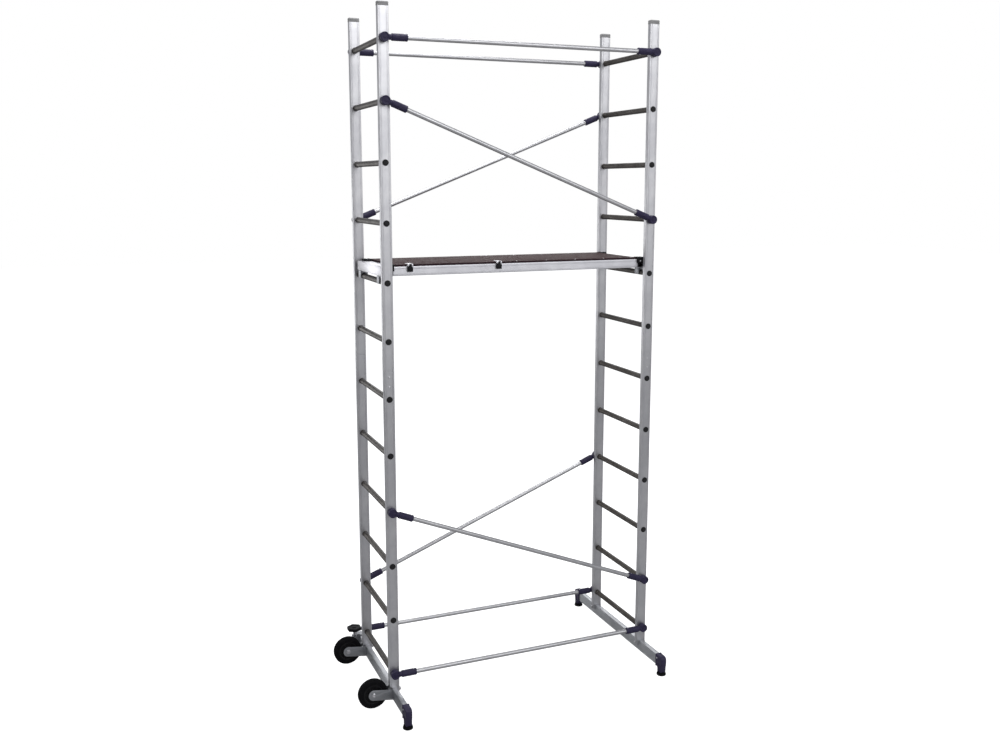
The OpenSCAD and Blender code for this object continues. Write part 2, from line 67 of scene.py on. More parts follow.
def rounded(corners, radius, steps=4, closed=True):
    """A flat outline with its corners turned to arcs. radius is one number, or one per corner."""
    count = len(corners)
    radii = radius if isinstance(radius, (list, tuple)) else [radius] * count
    line = []
    for k, (corner, r) in enumerate(zip(corners, radii)):
        corner = Vector(corner)
        if not closed and k in (0, count - 1) or r <= 0:
            line.append(corner)
            continue
        back = Vector(corners[k - 1]) - corner
        ahead = Vector(corners[(k + 1) % count]) - corner
        half = back.angle(ahead) / 2
        if half > 0.49 * pi:
            line.append(corner)
            continue
        reach = min(r / tan(half), 0.48 * back.length, 0.48 * ahead.length)
        r = reach * tan(half)
        centre = corner + (back.normalized() + ahead.normalized()).normalized() * r / sin(half)
        start = corner + back.normalized() * reach - centre
        end = corner + ahead.normalized() * reach - centre
        turn = start.angle_signed(end)
        for s in range(steps + 1):
            a = -turn * s / steps
            line.append(centre + Vector((start.x * cos(a) - start.y * sin(a),
                                         start.x * sin(a) + start.y * cos(a))))
    return [(p.x, p.y) for p in line]


def around(radius, count=48, sides=0, flutes=0, depth=0.0):
    """Points round a circle, or a polygon of that many sides, or a circle with flutes."""
    line = []
    for k in range(count):
        a = tau * k / count
        r = radius
        if sides:
            part = tau / sides
            r = radius / cos(a % part - part / 2)
        if flutes:
            r -= depth * (0.5 - 0.5 * cos(flutes * a))
        line.append((r * cos(a), r * sin(a)))
    return line


def box_section(wide, deep, corner, wide_grooves=(), deep_grooves=(), cut=0.0, half_groove=1.1):
    """The outline of an extruded box, wide along X, with grooves drawn along its faces."""
    line = []
    for turn in range(4):
        half, out, grooves = wide / 2, deep / 2, wide_grooves
        if turn % 2:
            half, out, grooves = deep / 2, wide / 2, deep_grooves
        side = []
        for g in grooves:
            side += [(g - half_groove, out), (g - half_groove / 2, out - cut),
                     (g + half_groove / 2, out - cut), (g + half_groove, out)]
        for s in range(5):
            a = s * pi / 8
            side.append((half - corner + corner * sin(a), out - corner + corner * cos(a)))
        c, s = round(cos(turn * pi / 2)), round(sin(turn * pi / 2))
        line += [(along * c + off * s, along * s - off * c) for along, off in side]
    return line


def inset(line, by):
    """The outline moved inwards. It runs anticlockwise."""
    points, count = [], len(line)
    for k in range(count):
        before, here, after = (Vector(line[(k + d) % count]) for d in (-1, 0, 1))
        a, b = (here - before).normalized(), (after - here).normalized()
        inward = Vector((-a.y - b.y, a.x + b.x))
        if inward.length < 1e-6:
            points.append(tuple(here))
            continue
        inward.normalize()
        spread = max(0.4, inward.dot(Vector((-a.y, a.x))))
        points.append(tuple(here + inward * by / spread))
    return points


# ---------------------------------------------------------------- solids, in millimetres


def at(x=0.0, y=0.0, z=0.0):
    return Matrix.Translation((x, y, z))


def turned_by(degrees, axis):
    return Matrix.Rotation(radians(degrees), 4, axis)


def mirrored(x=1, y=1, z=1):
    return Matrix.Diagonal((x, y, z, 1))


ALONG_X = turned_by(90, "Y")
ALONG_Y = turned_by(-90, "X")


def mesh_of(points, faces):
    """A mesh with its faces turned outwards."""
    mesh = bpy.data.meshes.new("shape")
    mesh.from_pydata([tuple(p) for p in points], [], faces)
    bm = bmesh.new()
    bm.from_mesh(mesh)
    bmesh.ops.recalc_face_normals(bm, faces=bm.faces)
    bm.to_mesh(mesh)
    bm.free()
    return mesh


def skin(rings, loop=False):
    """A closed shell over rings of points. With loop, the last ring joins the first."""
    count = len(rings[0])
    points = [p for ring in rings for p in ring]
    faces = []
    last = len(rings) if loop else len(rings) - 1
    for r in range(last):
        a, b = r * count, (r + 1) % len(rings) * count
        for k in range(count):
            j = (k + 1) % count
            faces.append((a + k, a + j, b + j, b + k))
    if not loop:
        faces.append(tuple(range(count))[::-1])
        faces.append(tuple((len(rings) - 1) * count + k for k in range(count)))
    return mesh_of(points, faces)


def raised(line, z):
    return [(x, y, z) for x, y in line]


def turned(profile, count=40, loop=False):
    """A turned shape about Z from (radius, height) points. A radius of 0 closes it at a point."""
    points, rows = [], []
    for r, z in profile:
        if r < 1e-6:
            rows.append([len(points)])
            points.append((0, 0, z))
        else:
            rows.append(list(range(len(points), len(points) + count)))
            points += raised(around(r, count), z)
    faces = []
    for a, b in zip(rows, rows[1:] + rows[:1] if loop else rows[1:]):
        for k in range(count):
            j = (k + 1) % count
            if len(a) == 1:
                faces.append((a[0], b[j], b[k]))
            elif len(b) == 1:
                faces.append((a[k], a[j], b[0]))
            else:
                faces.append((a[k], a[j], b[j], b[k]))
    return mesh_of(points, faces)


def tube(outer, inner, z0, z1, lip=0.4):
    """A length of hollow stock. outer(by) gives its outside, moved in by that much."""
    rings = [(inner(0), z0), (outer(lip), z0), (outer(0), z0 + lip),
             (outer(0), z1 - lip), (outer(lip), z1), (inner(0), z1)]
    return skin([raised(line, z) for line, z in rings], loop=True)


def plate(outline, z0, z1, edge=0.8, steps=3):
    """A flat shape with rounded rims. outline(by) gives its outline, moved in by that much."""
    rings = []
    for s in range(steps + 1):
        a = pi / 2 * s / steps
        rings.append(raised(outline(edge * (1 - sin(a))), z0 + edge * (1 - cos(a))))
    for s in range(steps, -1, -1):
        a = pi / 2 * s / steps
        rings.append(raised(outline(edge * (1 - sin(a))), z1 - edge * (1 - cos(a))))
    return skin(rings)


def drawn(line):
    """The outline function of a drawn line. Its corner radii are larger than any inset."""
    return lambda by: inset(line, by)


def rectangle(x, y, corner):
    """The outline function of a rounded rectangle, which keeps round corners at any inset."""
    return lambda by: box_section(x - 2 * by, y - 2 * by, max(corner - by, 0.2 * corner))


def block(x, y, z, corner=2.0, edge=0.8, low=None):
    """A rounded block of size x, y, z on its own middle, or standing on z = low."""
    z0 = -z / 2 if low is None else low
    return plate(rectangle(x, y, corner), z0, z0 + z, edge)


def moved(solid, where):
    solid = solid.copy()
    solid.transform(where)
    return solid


def combined(solid, tools, operation):
    """The solid with the tools cut away from it, or joined to it in one shell."""
    objects = [bpy.data.objects.new("work", m) for m in (solid, *tools)]
    for o in objects:
        bpy.context.scene.collection.objects.link(o)
    for tool in objects[1:]:
        step = objects[0].modifiers.new("step", "BOOLEAN")
        step.object, step.operation, step.solver = tool, operation, "EXACT"
    ready = objects[0].evaluated_get(bpy.context.evaluated_depsgraph_get())
    result = bpy.data.meshes.new_from_object(ready)
    for o in objects:
        bpy.data.objects.remove(o)
    return result


def cut(solid, *tools):
    return combined(solid, tools, "DIFFERENCE")


def joined(solid, *tools):
    return combined(solid, tools, "UNION")


def softened(node, width):
    """A CAD node's shape with its edges broken, in millimetres in the shared frame."""
    bm = bmesh.new()
    bm.from_mesh(frame["nodes"][node].data)
    bmesh.ops.scale(bm, vec=(1000, 1000, 1000), verts=bm.verts)
    bmesh.ops.remove_doubles(bm, verts=bm.verts, dist=SAME_POINT)
    bmesh.ops.dissolve_limit(bm, angle_limit=FLAT_ANGLE, verts=bm.verts, edges=bm.edges)
    sharp = [e for e in bm.edges
             if len(e.link_faces) == 2 and e.calc_face_angle(0) > SHARP_ANGLE]
    bmesh.ops.bevel(bm, geom=sharp, offset=width, segments=2, profile=0.5,
                    affect="EDGES", clamp_overlap=True)
    mesh = bpy.data.meshes.new("shape")
    bm.to_mesh(mesh)
    bm.free()
    return mesh


# ---------------------------------------------------------------- pieces


def box_mm(node):
    low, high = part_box(node)
    return low * 1000, high * 1000


def middle_mm(node):
    low, high = box_mm(node)
    return (low + high) / 2


def show(name, placed, finish, nodes=(), body=None):
    """One piece from solids and where each goes. Points keep their place in a solid as grain."""
    points, grain, faces = [], [], []
    for n, (solid, where) in enumerate(placed):
        first = len(points)
        for v in solid.vertices:
            points.append(where @ v.co * MM)
            grain += (v.co.x, v.co.y, v.co.z + GRAIN_STEP * n)
        faces += [[first + k for k in p.vertices] for p in solid.polygons]
    mesh = mesh_of(points, faces)
    mesh.name = name
    mesh.attributes.new("grain", "FLOAT_VECTOR", "POINT").data.foreach_set("vector", grain)
    mesh.shade_smooth()
    mesh.set_sharp_from_angle(angle=SHARP_ANGLE)
    mesh.materials.append(finish)
    made = bpy.data.objects.new(name, mesh)
    bpy.context.scene.collection.objects.link(made)
    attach(made, body or BODY[nodes[0]])
    if nodes:
        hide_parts(*nodes)


# ---------------------------------------------------------------- finishes


class Shade:
    """A socket among the nodes. Sums on it add Math nodes."""

    def __init__(self, nodes, socket):
        self.nodes, self.socket = nodes, socket

    def math(self, operation, other=0.0, swapped=False):
        a, b = (other, self) if swapped else (self, other)
        return self.nodes.node("Math", {"operation": operation}, {0: a, 1: b})

    def __add__(self, other):
        return self.math("ADD", other)

    def __sub__(self, other):
        return self.math("SUBTRACT", other)

    def __rsub__(self, other):
        return self.math("SUBTRACT", other, True)

    def __mul__(self, other):
        return self.math("MULTIPLY", other)

    def __gt__(self, other):
        return self.math("GREATER_THAN", other)

    __radd__, __rmul__ = __add__, __mul__


class Nodes:
    """A node tree, with the one method that every node in it comes from."""

    def __init__(self, tree):
        self.tree = tree

    def node(self, kind, settings=None, inputs=None, output=0):
        """A node from its type, its settings, and the values or links of its sockets."""
        made = self.tree.nodes.new("ShaderNode" + kind)
        for key, value in (settings or {}).items():
            if key == "stops":
                ramp = made.color_ramp
                while len(ramp.elements) < len(value):
                    ramp.elements.new(0.5)
                for stop, (place, colour) in zip(ramp.elements, value):
                    stop.position, stop.color = place, colour
            else:
                setattr(made, key, value)
        self.feed(made, inputs or {})
        return Shade(self, made.outputs[output])

    def feed(self, node, inputs):
        for key, value in inputs.items():
            if isinstance(value, Shade):
                self.tree.links.new(value.socket, node.inputs[key])
            else:
                node.inputs[key].default_value = value

    def mixed(self, share, a, b):
        return self.node("Mix", {"data_type": "RGBA"}, {0: share, 6: a, 7: b}, output=2)


class Finish(Nodes):
    """A material made of nodes round one Principled shader."""

    def __init__(self, name, fixed):
        self.material = bpy.data.materials.new(name)
        self.material.use_nodes = True
        super().__init__(self.material.node_tree)
        self.shader = self.tree.nodes["Principled BSDF"]
        self.feed(self.shader, fixed)

    def place(self, stretch=(1, 1, 1)):
        """Where a point is in its own piece, in millimetres, scaled along each axis."""
        grain = self.node("Attribute", {"attribute_name": "grain"}, output=1)
        return self.node("VectorMath", {"operation": "MULTIPLY"}, {0: grain, 1: stretch})

    def noise(self, place, size, detail=2.0, roughness=0.5):
        """Soft random patches of about that size in millimetres, from 0 to 1."""
        return self.node("TexNoise", {}, {"Vector": place, "Scale": 1.0 / size, "Detail": detail,
                                          "Roughness": roughness})

    def ramp(self, value, low, high):
        """The value spread so that low becomes 0 and high becomes 1."""
        return self.node("MapRange", {"clamp": True}, {0: value, 1: low, 2: high, 3: 0.0, 4: 1.0})

    def bumped(self, height, distance):
        """Relief from a height, of that depth in metres at a height of 1."""
        bump = self.node("Bump", {}, {"Height": height, "Distance": distance, "Strength": 1.0})
        self.feed(self.shader, {"Normal": bump})

    def axis(self, place, which):
        return self.node("SeparateXYZ", {}, {0: place}, output=which)


def grey(value, warm=0.0):
    return (value * (1 + warm), value, value * (1 - warm), 1.0)


def drawn_aluminium(name, tone, dark, rough):
    """Extruded aluminium: die lines along its length, faint stains, and bright scuffs."""
    f = Finish(name, {"Metallic": 0.9})
    place = f.place()
    die = f.noise(f.place((1, 1, 0.004)), 0.9, 3.0)
    fine = f.noise(f.place((3, 3, 0.012)), 0.9, 1.0)
    stain = f.noise(place, 130.0, 4.0, 0.6)
    scuff = f.ramp(f.noise(f.place((1, 1, 0.25)), 9.0, 6.0, 0.7), 0.60, 0.78)
    base = f.mixed(f.ramp(stain + 0.25 * die, 0.40, 0.85), tone, dark)
    base = f.mixed(scuff * 0.35, base, grey(0.82))
    roughness = rough + 0.16 * (stain - 0.5) + 0.14 * (die - 0.5) + 0.12 * scuff
    f.feed(f.shader, {"Base Color": base, "Roughness": roughness})
    f.bumped(die + 0.5 * fine, 0.00009)
    return f.material


def moulded_plastic(name, tone, worn, gloss):
    """Injection-moulded plastic: spark-eroded grain, cloudy colour, pale rubbed places."""
    f = Finish(name, {"Metallic": 0.0, "Specular IOR Level": gloss})
    place = f.place()
    fine = f.noise(place, 0.55, 2.0)
    cloud = f.noise(place, 22.0, 4.0, 0.6)
    rub = f.ramp(f.noise(place, 7.0, 8.0, 0.75), 0.62, 0.80)
    base = f.mixed(f.ramp(cloud, 0.35, 0.75) * 0.5 + rub * 0.5, tone, worn)
    f.feed(f.shader, {"Base Color": base, "Roughness": 0.50 + 0.16 * (cloud - 0.5) + 0.18 * rub})
    f.bumped(fine + 0.4 * rub, 0.00011)
    return f.material


def tyre_rubber(name):
    """Matt black rubber with a patchy bloom of dust."""
    f = Finish(name, {"Metallic": 0.0, "Specular IOR Level": 0.06})
    place = f.place()
    fine = f.noise(place, 0.7, 3.0)
    dust = f.ramp(f.noise(place, 16.0, 6.0, 0.7), 0.52, 0.80)
    base = f.mixed(dust * 0.45, (0.005, 0.005, 0.006, 1), (0.026, 0.025, 0.024, 1))
    f.feed(f.shader, {"Base Color": base, "Roughness": 0.70 + 0.20 * dust})
    f.bumped(fine + 0.6 * dust, 0.00022)
    return f.material


def plated_steel(name, tone, rough):
    """Zinc-plated or machined steel: fine ring scratches and a few dull spots."""
    f = Finish(name, {"Metallic": 1.0})
    place = f.place()
    rings = f.noise(f.place((0.3, 0.3, 3.0)), 0.8, 2.0)
    spots = f.ramp(f.noise(place, 5.0, 6.0, 0.7), 0.58, 0.76)
    base = f.mixed(spots * 0.6, tone, grey(0.22, 0.06))
    f.feed(f.shader, {"Base Color": base, "Roughness": rough + 0.12 * (rings - 0.5) + 0.30 * spots})
    f.bumped(rings, 0.00006)
    return f.material


DECK_RIM = 0.9


def deck_board(name, thickness):
    """Film-faced ply: a raised wire-mesh print on the film, and sealed layers on the edges."""
    f = Finish(name, {"Metallic": 0.0, "Specular IOR Level": 0.03})
    place = f.place()
    height = f.axis(place, 2)
    on_edge = (height > DECK_RIM) * (thickness - DECK_RIM - height > 0.0)
    across, along = f.axis(place, 0), f.axis(place, 1)
    mesh_a = ((across + along) * (tau / 7.0)).math("SINE")
    mesh_b = ((across - along) * (tau / 7.0)).math("SINE")
    wire = f.ramp(mesh_a.math("MAXIMUM", mesh_b), 0.72, 0.98)
    wear = f.ramp(f.noise(f.place((1, 0.6, 1)), 60.0, 7.0, 0.65), 0.45, 0.75)
    grime = f.noise(place, 12.0, 5.0, 0.6)
    film = f.mixed(wear * 0.75, (0.050, 0.032, 0.033, 1), (0.104, 0.075, 0.074, 1))
    film = f.mixed(wire * 0.30 + 0.2 * grime, film, (0.036, 0.020, 0.020, 1))
    layer = f.ramp((height * (tau / 2.6)).math("SINE"), -0.3, 0.3)
    fibre = f.noise(f.place((0.06, 0.06, 2.0)), 1.0, 3.0)
    wood = f.mixed(layer * 0.7 + 0.3 * fibre, (0.040, 0.022, 0.026, 1), (0.016, 0.010, 0.016, 1))
    f.feed(f.shader, {"Base Color": f.mixed(on_edge, film, wood),
                      "Roughness": 0.62 + 0.20 * wear + 0.12 * on_edge - 0.08 * wire})
    f.bumped(wire * (1 - on_edge) + 0.25 * grime + 0.5 * layer * on_edge, 0.00045)
    return f.material


FINISH = {
    key: drawn_aluminium(f"{key}_aluminium", (*tone, 1), (*dark, 1), rough)
    for key, tone, dark, rough in (
        ("stile", (0.56, 0.56, 0.575), (0.43, 0.43, 0.455), 0.36),
        ("bar", (0.50, 0.51, 0.53), (0.35, 0.36, 0.38), 0.36),
        ("rail", (0.64, 0.64, 0.67), (0.50, 0.50, 0.53), 0.34),
        # The rungs' near-black tone stands in for the shade they sit in: painted shade in the rung
        # colour, a shaded copy of the aluminium.
        ("rung", (0.086, 0.077, 0.069), (0.044, 0.039, 0.035), 0.42),
        ("brace", (0.50, 0.50, 0.515), (0.38, 0.38, 0.395), 0.36),
        ("spigot", (0.42, 0.42, 0.435), (0.30, 0.30, 0.315), 0.40),
    )
}
FINISH |= {
    key: moulded_plastic(f"{key}_plastic", (*tone, 1), (*worn, 1), gloss)
    for key, tone, worn, gloss in (
        ("clip", (0.021, 0.017, 0.047), (0.040, 0.034, 0.078), 0.22),
        ("foot", (0.017, 0.012, 0.043), (0.036, 0.029, 0.070), 0.32),
        ("plug", (0.012, 0.012, 0.013), (0.028, 0.028, 0.030), 0.15),
        ("cap", (0.220, 0.220, 0.222), (0.290, 0.290, 0.292), 0.35),
        ("black", (0.008, 0.008, 0.010), (0.020, 0.020, 0.022), 0.10),
        ("hub", (0.011, 0.011, 0.012), (0.026, 0.026, 0.028), 0.12),
    )
}
FINISH |= {
    "pad": tyre_rubber("pad_rubber"),
    "tyre": tyre_rubber("tyre_rubber"),
    "steel": plated_steel("fastener_steel", (0.58, 0.58, 0.60, 1), 0.30),
    "bracket": plated_steel("bracket_steel", (0.36, 0.37, 0.39, 1), 0.46),
    "hinge": plated_steel("hinge_steel", (0.60, 0.60, 0.63, 1), 0.34),
}


# ---------------------------------------------------------------- small hardware


def button_head(radius, height, key=None):
    """A domed screw head with a hexagon socket, standing on z = 0."""
    key = key or radius * 0.5
    rings = [raised(around(radius, 36), 0), raised(around(radius, 36), height * 0.3)]
    for share, lift in ((0.93, 0.62), (0.78, 0.88), (0.62, 1.0)):
        rings.append(raised(around(radius * share, 36), height * lift))
    rings.append(raised(around(key, 36, sides=6), height))
    rings.append(raised(around(key, 36, sides=6), height * 0.35))
    return skin(rings)


def rivet_head(radius, height):
    """A blind rivet's domed head with the broken stem in its middle."""
    profile = [(0, 0), (1, 0), (1, 0.25), (0.9, 0.6), (0.65, 0.9), (0.34, 1), (0.30, 0.7),
               (0.12, 0.75), (0, 0.85)]
    return turned([(radius * r, height * z) for r, z in profile], 32)


def nut(across, height, bore):
    """A chamfered hexagon nut, standing on z = 0."""
    flat, lip = across / 2, across * 0.06
    rings = [(bore, 0, 0), (flat, 0, 0), (flat, 6, lip), (flat, 6, height - lip), (flat, 0, height),
             (bore + 0.6, 0, height), (bore, 0, height - 0.6)]
    return skin([raised(around(r, 36, sides), z) for r, sides, z in rings], loop=True)


def threaded(radius, z0, z1, pitch, depth, count=28):
    """A right-handed screw thread between two heights."""
    rows = int((z1 - z0) / pitch * 6) + 1
    rings = []
    for r in range(rows + 1):
        z = z0 + (z1 - z0) * r / rows
        ring = []
        for k in range(count):
            phase = ((z / pitch - k / count) % 1.0)
            r_here = radius - depth * abs(2 * phase - 1) ** 1.5
            ring.append((r_here * cos(tau * k / count), r_here * sin(tau * k / count), z))
        rings.append(ring)
    end = raised(around(radius - depth - 0.6, count), z1 + 0.8)
    return skin([raised(around(radius - depth - 0.2, count), z0)] + rings + [end])


# ---------------------------------------------------------------- ladder frames

STILE_WALL = 2.0
FRAME_X = {end: middle_mm(f"lower_{end}_front_stile").x for end in ENDS}
STILE_Y = {side: middle_mm(f"lower_left_{side}_stile").y for side in SIDES}
END_FACE = box_mm("lower_left_rear_stile")[1].y
BAY = FRAME_X["right"] - FRAME_X["left"]
RUNGS_LOW, RUNGS_HIGH = box_mm("lower_rungs")
RUNG_R = (RUNGS_HIGH.x - RUNGS_LOW.x - BAY) / 2
RUNG_WALL = 2.0
RUNGS_EACH = 6
RUNG_PITCH = (RUNGS_HIGH.z - RUNGS_LOW.z - 2 * RUNG_R) / (RUNGS_EACH - 1)
FIRST_RUNG = RUNGS_LOW.z + RUNG_R
BAR_TOP = box_mm("left_base_bar")[1].z


def rung_z(i):
    return FIRST_RUNG + i * RUNG_PITCH


def stile(node):
    """A grooved box extrusion with rounded corners; a lower one straddles its base bar."""
    low, high = box_mm(node)
    wide, deep = high.x - low.x, high.y - low.y
    grooves = (-19.0, -15.0, 15.0, 19.0)

    def outer(by):
        return box_section(wide - 2 * by, deep - 2 * by, 2.6, grooves, (-5.0, 5.0), cut=0.55)

    def inner(by):
        return box_section(wide - 2 * STILE_WALL, deep - 2 * STILE_WALL, 0.8, grooves, (-5.0, 5.0))

    shape = tube(outer, inner, 0, high.z - low.z)
    if node.startswith("lower"):
        end = "left" if "left" in node else "right"
        bar_low, bar_high = box_mm(f"{end}_base_bar")
        gap, below = 0.3, 5
        notch = block(bar_high.x - bar_low.x + 2 * gap, 2 * deep, BAR_TOP - low.z + gap + below,
                      0.2, 0.1, low=-below)
        shape = cut(shape, notch)
    return shape, at((low.x + high.x) / 2, (low.y + high.y) / 2, low.z)


def make_stiles():
    for storey in ("lower", "upper"):
        for end in ENDS:
            for side in SIDES:
                node = f"{storey}_{end}_{side}_stile"
                show(node + "_extrusion", [stile(node)], FINISH["stile"], [node])


def rung():
    """A fluted tube, plain where it passes through the stiles and swaged out beside them."""
    inner_face = 2 * STILE_Y["rear"] - END_FACE
    swaging = [(-0.4, 0.0, 0.0), (0.2, 1.3, 0.0), (2.4, 1.5, 0.0), (4.6, 0.2, 0.0), (9, 0.0, 0.0),
               (14, 0.0, 0.7)]
    stations = [(-END_FACE, 0.0, 0.0)]
    stations += [(past - inner_face, swell, depth) for past, swell, depth in swaging]
    stations += [(-y, swell, depth) for y, swell, depth in stations[::-1]]
    outer = [raised(around(RUNG_R + swell, 96, flutes=24, depth=depth), y)
             for y, swell, depth in stations]
    bore = around(RUNG_R - RUNG_WALL, 96)
    return skin([raised(bore, -END_FACE)] + outer + [raised(bore, END_FACE)], loop=True)


def plug():
    """A push-in plug: a domed flange with a moulding ring, and its ribbed tail in the rung."""
    tail = RUNG_R - 2.1
    flange = [(0, 2.35), (5, 2.5), (9.5, 2.35), (10.5, 1.7), (12.0, 1.7), (13.0, 2.4), (15, 1.9),
              (15, 0)]
    ribs = [(tail, 0), (tail, -4), (tail - 0.8, -5), (tail - 0.8, -8), (tail, -9), (tail, -16),
            (tail - 1.5, -18), (0, -18)]
    return turned(rounded(flange + ribs, 0.5, 2, closed=False), 36)


def make_rungs():
    """Rungs, and a plug in every rung end that no brace clip takes."""
    shape, plug_shape = rung(), plug()
    taken = {"left": {"front": (0, 3, 10, 11), "rear": (0, 1, 8, 11)},
             "right": {"front": (0, 1, 8, 11), "rear": (0, 3, 10, 11)}}
    for storey, first in (("lower", 0), ("upper", RUNGS_EACH)):
        steps = range(first, first + RUNGS_EACH)
        placed = [(shape, at(FRAME_X[end], 0, rung_z(i)) @ ALONG_Y) for end in ENDS for i in steps]
        show(f"{storey}_fluted_rungs", placed, FINISH["rung"],
             [f"{storey}_rungs"])
        placed = [(plug_shape, at(FRAME_X[end], 0, rung_z(i)) @ mirrored(y=SIDES[side])
                   @ at(0, END_FACE, 0) @ ALONG_Y)
                  for end in ENDS for side in SIDES for i in steps if i not in taken[end][side]]
        show(f"{storey}_push_in_plugs", placed, FINISH["plug"],
             [f"{storey}_rung_plugs"])


def make_caps():
    """Stile caps: a skirt, a waist line and a crowned top."""
    top = box_mm("upper_left_front_stile")[1].z
    height = box_mm("stile_caps")[1].z - top
    line = rectangle(54.0, 27.0, 3.2)
    crown, steps = 5, 5
    sides = [(3.2, -24.0), (3.1, 0.0), (0.5, 0.0), (0.0, 0.6), (0.0, 7.0), (0.9, 7.8),
             (0.9, 9.0), (0.0, 9.8), (0.0, height - crown)]
    rings = [raised(line(by), z) for by, z in sides]
    for s in range(1, steps + 1):
        a = pi / 2 * s / steps
        rings.append(raised(line(0.2 + 6.0 * (1 - cos(a))), height - crown + crown * sin(a)))
    shape = skin(rings)
    placed = [(shape, at(FRAME_X[end], STILE_Y[side], top)) for end in ENDS for side in SIDES]
    show("crowned_stile_caps", placed, FINISH["cap"], ["stile_caps"])


make_stiles()
make_rungs()
make_caps()


# ---------------------------------------------------------------- braces

BRACES = {"low_rail": (0, 0), "low_cross": (3, 1), "top_cross": (10, 8), "top_rail": (11, 11)}
BRACE_OFF, BRACE_R, BRACE_WALL = 20.0, 11.0, 1.5
BARREL = (33.0, 108.0)
SOCKET_START, END_PLAY = 43.0, 0.3


def brace_end(side, rungs, end):
    """The frame of a brace's end: +X along the brace, +Y away from the tower."""
    here, there = rungs if end == "left" else rungs[::-1]
    tilt = -atan2(rung_z(there) - rung_z(here), -ENDS[end] * BAY)
    return (at(FRAME_X[end], 0, rung_z(here)) @ mirrored(y=SIDES[side]) @ at(0, END_FACE, 0)
            @ Matrix.Rotation(tilt, 4, "Y"))


def clip():
    """A moulded brace clip: a dished boss with its stub, a waist, and a fluted barrel."""
    stub = RUNG_R - 2.05
    boss = rounded([(0, 30.6), (5.5, 30.6), (6.5, 29.2), (14.5, 29.0), (16.5, 31.4), (20.5, 31.9),
                    (22, 29.5), (22, 3), (20.2, 0.3), (stub, 0.3), (stub, -37), (stub - 1.6, -40),
                    (0, -40)],
                   [0, 0.6, 0.8, 1.0, 0.8, 1.2, 1.4, 1.4, 0.8, 0.4, 0.8, 0.6, 0], 2, closed=False)
    start, end = BARREL
    waist = [(10, 10.5), (18, 11.6), (22, 13.2), (25, 13.4), (28.5, 13.0), (31, 13.6)]
    near_rim = [(start, 15.4), (start + 1.2, 16.6), (start + 2.6, 17.0), (start + 9, 17.0),
                (start + 10.2, 16.4), (start + 11.4, 16.6)]
    far_rim = [(end - 11.4, 16.6), (end - 10.2, 16.4), (end - 9, 17.0), (end - 2.4, 17.0),
               (end - 0.7, 16.3), (end, 15.0)]
    socket = [(end, BRACE_R + 0.9), (end - 1.0, BRACE_R + 0.15), (SOCKET_START, BRACE_R + 0.15)]
    rings = [raised(around(r, 64), x) for x, r in waist + near_rim]
    rings += [raised(around(16.9, 64, flutes=16, depth=1.3), x) for x in (start + 14, end - 14)]
    rings += [raised(around(r, 64), x) for x, r in far_rim + socket]
    barrel = moved(skin(rings), at(0, BRACE_OFF, 0) @ ALONG_X)
    shell = joined(moved(turned(boss, 48), ALONG_Y), barrel)
    tab = moved(block(26, 12, 6, 3.0, 1.2), at(start + 23, BRACE_OFF + 14.6, 0) @ ALONG_Y)
    return joined(shell, tab)


def make_braces():
    """The four braces of each side: a tube in two clips, with a rivet each side of each clip."""
    clip_shape = clip()
    pin = rivet_head(4.2, 1.4)
    for kind, front in BRACES.items():
        for side in SIDES:
            rungs = front if side == "front" else front[::-1]
            body = BODY[f"{side}_{kind}_tube"]
            ends = [brace_end(side, rungs, end) for end in ENDS]
            show(f"{side}_{kind}_clip_mouldings", [(clip_shape, where) for where in ends],
                 FINISH["clip"], [f"{side}_{kind}_clips"])
            rise = rung_z(rungs[1]) - rung_z(rungs[0])
            shape = tube(lambda by: around(BRACE_R - by, 40),
                         lambda by: around(BRACE_R - BRACE_WALL, 40),
                         0, hypot(BAY, rise) - 2 * (SOCKET_START + END_PLAY))
            where = ends[0] @ at(SOCKET_START + END_PLAY, BRACE_OFF, 0) @ ALONG_X
            show(f"{side}_{kind}_drawn_tube", [(shape, where)], FINISH["brace"],
                 [f"{side}_{kind}_tube"])
            pins = [(pin, where @ at(BARREL[0] + 62, BRACE_OFF, 0) @ turned_by(turn, "X")
                     @ at(0, 0, 15.5)) for where in ends for turn in (0, 180)]
            show(f"{side}_{kind}_clip_rivets", pins, FINISH["steel"], body=body)


make_braces()


# ---------------------------------------------------------------- base

BAR_WALL = 2.0
PAD_OUT = 10.0


def make_bars():
    """Base bars: grooved box extrusions along Y, hollow."""
    grooves = (-20.0, -7.0, 7.0, 20.0)
    for end in ENDS:
        low, high = box_mm(f"{end}_base_bar")
        tall, thick, length = high.z - low.z, high.x - low.x, high.y - low.y

        def outer(by):
            return box_section(thick - 2 * by, tall - 2 * by, 2.2, (), grooves, cut=0.5)

        def inner(by):
            return box_section(thick - 2 * BAR_WALL, tall - 2 * BAR_WALL, 0.6, (), grooves)

        shape = tube(outer, inner, 0, length)
        where = at((low.x + high.x) / 2, high.y, (low.z + high.z) / 2) @ turned_by(90, "X")
        show(f"{end}_bar_extrusion", [(shape, where)], FINISH["bar"],
             [f"{end}_base_bar"])


